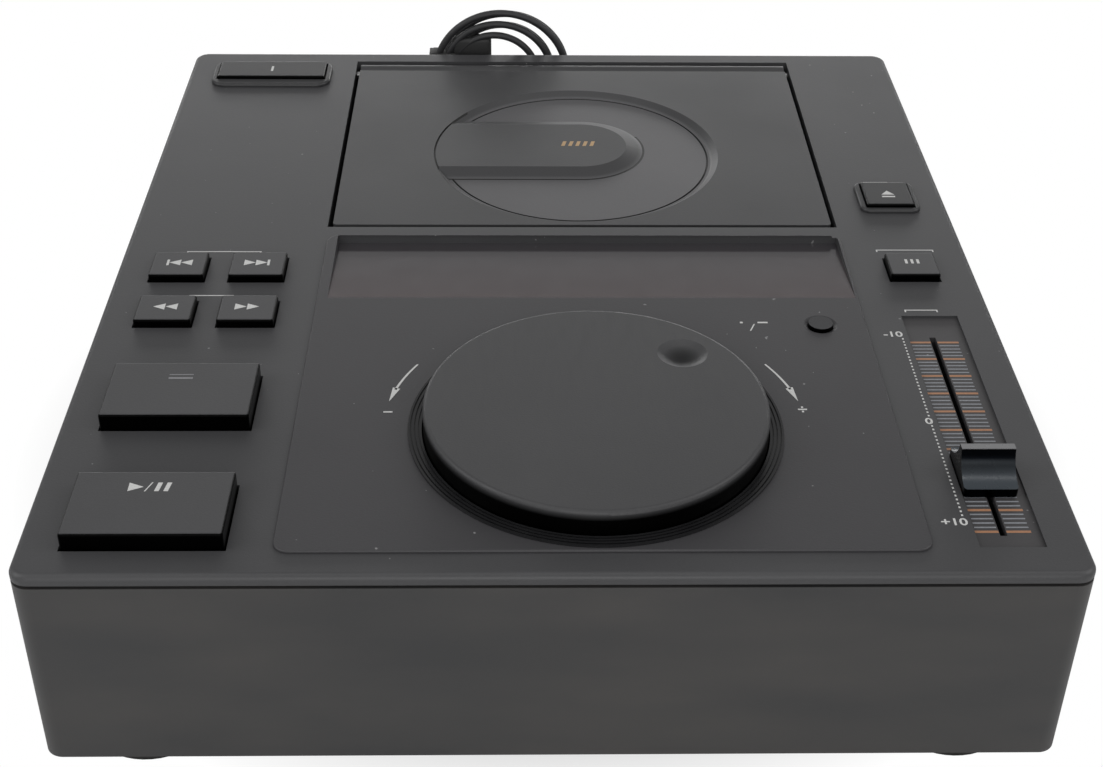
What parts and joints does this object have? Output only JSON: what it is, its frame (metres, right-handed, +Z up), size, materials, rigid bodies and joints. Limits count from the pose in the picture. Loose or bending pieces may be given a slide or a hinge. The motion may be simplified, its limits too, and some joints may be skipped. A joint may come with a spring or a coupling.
{
  "type": "tabletop disc player",
  "caption": "Flat black top-loading tabletop disc player with a hinged disc lid, large jog dial, sloped display window, tempo slider, push buttons and a coiled power lead.",
  "frame": {"origin": "on the floor under the middle of the case, at the bottom of the feet", "axes": "+X to the user's right, +Y to the back, +Z up"},
  "size_m": [0.32, 0.4097, 0.103],
  "materials": {
    "board": "green circuit board",
    "brass": "plated brass",
    "button": "black moulded button with a textured top",
    "case_shell": "smooth black moulded plastic with a faint sheen",
    "copper": "wound core",
    "cord": "flexible black cord jacket",
    "inner": "black inner plastic",
    "jog": "dark grey textured dial",
    "lens": "smoked display window",
    "optic": "small pickup lens",
    "ring": "glossy black grooved ring",
    "rubber": "soft black rubber",
    "scale": "printed scale plate",
    "steel": "plain steel",
    "top_shell": "fine-textured dark grey plastic"
  },
  "bodies": {
    "case": {"case_walls": "case_shell", "base_plate": "steel", "feet": "rubber", "foot_screws": "steel", "rear_panel": "steel", "audio_jacks": "brass", "strain_relief": "cord", "top_panel": "top_shell", "control_panel": "top_shell", "display_lens": "lens", "display_board": "board", "display_tube": "optic", "jog_ring": "ring", "jog_bracket": "inner", "hinge_brackets": "inner", "disc_well": "inner", "mechanism_plate": "steel", "damper_mounts": "rubber", "guide_rods": "steel", "spindle_motor": "steel", "power_bezel": "top_shell", "eject_bezel": "top_shell", "key_board_left": "board", "key_board_right": "board", "key_switches": "inner", "tempo_scale": "scale", "tempo_fader": "inner", "main_board": "board", "power_board": "board", "power_transformer": "copper", "power_cord_coil": "cord", "power_cord": "cord", "power_cord_tail": "cord", "cord_tie": "cord", "power_plug": "cord", "plug_blades": "brass"},
    "lid": {"lid_cover": "top_shell", "lid_liner": "inner", "hinge_pins": "steel"},
    "clamper": {"disc_clamper": "inner"},
    "turntable": {"turntable": "inner"},
    "sled": {"pickup_sled": "inner", "pickup_lens": "optic"},
    "jog": {"jog_dial": "jog", "jog_shaft": "steel", "encoder_disc": "inner"},
    "latch": {"lid_latch": "inner"},
    "tempo": {"tempo_knob": "button", "tempo_lever": "steel"},
    "track_back": {"track_back_button": "button"},
    "track_next": {"track_next_button": "button"},
    "search_back": {"search_back_button": "button"},
    "search_forward": {"search_forward_button": "button"},
    "cue": {"cue_button": "button"},
    "play": {"play_button": "button"},
    "tempo_mode": {"tempo_mode_button": "button"},
    "time": {"time_button": "button"},
    "power": {"power_button": "button"},
    "eject": {"eject_button": "button"}
  },
  "joints": [
    {"name": "lid_hinge", "type": "hinge", "parent": "case", "child": "lid", "pos_m": [0.01425, 0.1697, 0.08], "axis": [-1, 0, 0], "range_deg": [0, 75]},
    {"name": "clamper_spin", "type": "hinge", "parent": "lid", "child": "clamper", "pos_m": [0.0133, 0.0845, 0.075], "axis": [0, 0, 1], "continuous": true},
    {"name": "turntable_spin", "type": "hinge", "parent": "case", "child": "turntable", "pos_m": [0.0133, 0.0845, 0.07], "axis": [0, 0, 1], "continuous": true},
    {"name": "sled_slide", "type": "slide", "parent": "case", "child": "sled", "axis": [0, -1, 0], "range_m": [0, 0.032]},
    {"name": "jog_spin", "type": "hinge", "parent": "case", "child": "jog", "pos_m": [0.0142, -0.1116, 0.09], "axis": [0, 0, 1], "continuous": true},
    {"name": "latch_slide", "type": "slide", "parent": "case", "child": "latch", "axis": [1, 0, 0], "range_m": [0, 0.0025]},
    {"name": "tempo_slide", "type": "slide", "parent": "case", "child": "tempo", "axis": [0, 1, 0], "range_m": [-0.024, 0.076]},
    {"name": "track_back_press", "type": "slide", "parent": "case", "child": "track_back", "axis": [0, 0, -1], "range_m": [0, 0.0015], "stiffness_N_per_m": 250, "springref_m": -0.001},
    {"name": "track_next_press", "type": "slide", "parent": "case", "child": "track_next", "axis": [0, 0, -1], "range_m": [0, 0.0015], "stiffness_N_per_m": 250, "springref_m": -0.001},
    {"name": "search_back_press", "type": "slide", "parent": "case", "child": "search_back", "axis": [0, 0, -1], "range_m": [0, 0.0015], "stiffness_N_per_m": 250, "springref_m": -0.001},
    {"name": "search_forward_press", "type": "slide", "parent": "case", "child": "search_forward", "axis": [0, 0, -1], "range_m": [0, 0.0015], "stiffness_N_per_m": 250, "springref_m": -0.001},
    {"name": "cue_press", "type": "slide", "parent": "case", "child": "cue", "axis": [0, 0, -1], "range_m": [0, 0.002], "stiffness_N_per_m": 400, "springref_m": -0.001},
    {"name": "play_press", "type": "slide", "parent": "case", "child": "play", "axis": [0, 0, -1], "range_m": [0, 0.002], "stiffness_N_per_m": 400, "springref_m": -0.001},
    {"name": "tempo_mode_press", "type": "slide", "parent": "case", "child": "tempo_mode", "axis": [0, 0, -1], "range_m": [0, 0.0015], "stiffness_N_per_m": 250, "springref_m": -0.001},
    {"name": "time_press", "type": "slide", "parent": "case", "child": "time", "axis": [0, 0, -1], "range_m": [0, 0.0015], "stiffness_N_per_m": 250, "springref_m": -0.001},
    {"name": "power_press", "type": "slide", "parent": "case", "child": "power", "axis": [0, 0, -1], "range_m": [0, 0.003], "stiffness_N_per_m": 300, "springref_m": -0.001},
    {"name": "eject_press", "type": "slide", "parent": "case", "child": "eject", "axis": [0, 0, -1], "range_m": [0, 0.0025], "stiffness_N_per_m": 300, "springref_m": -0.001}
  ],
  "couplings": [
    {"joint": "latch_slide", "follows": "eject_press", "ratio": 1}
  ]
}
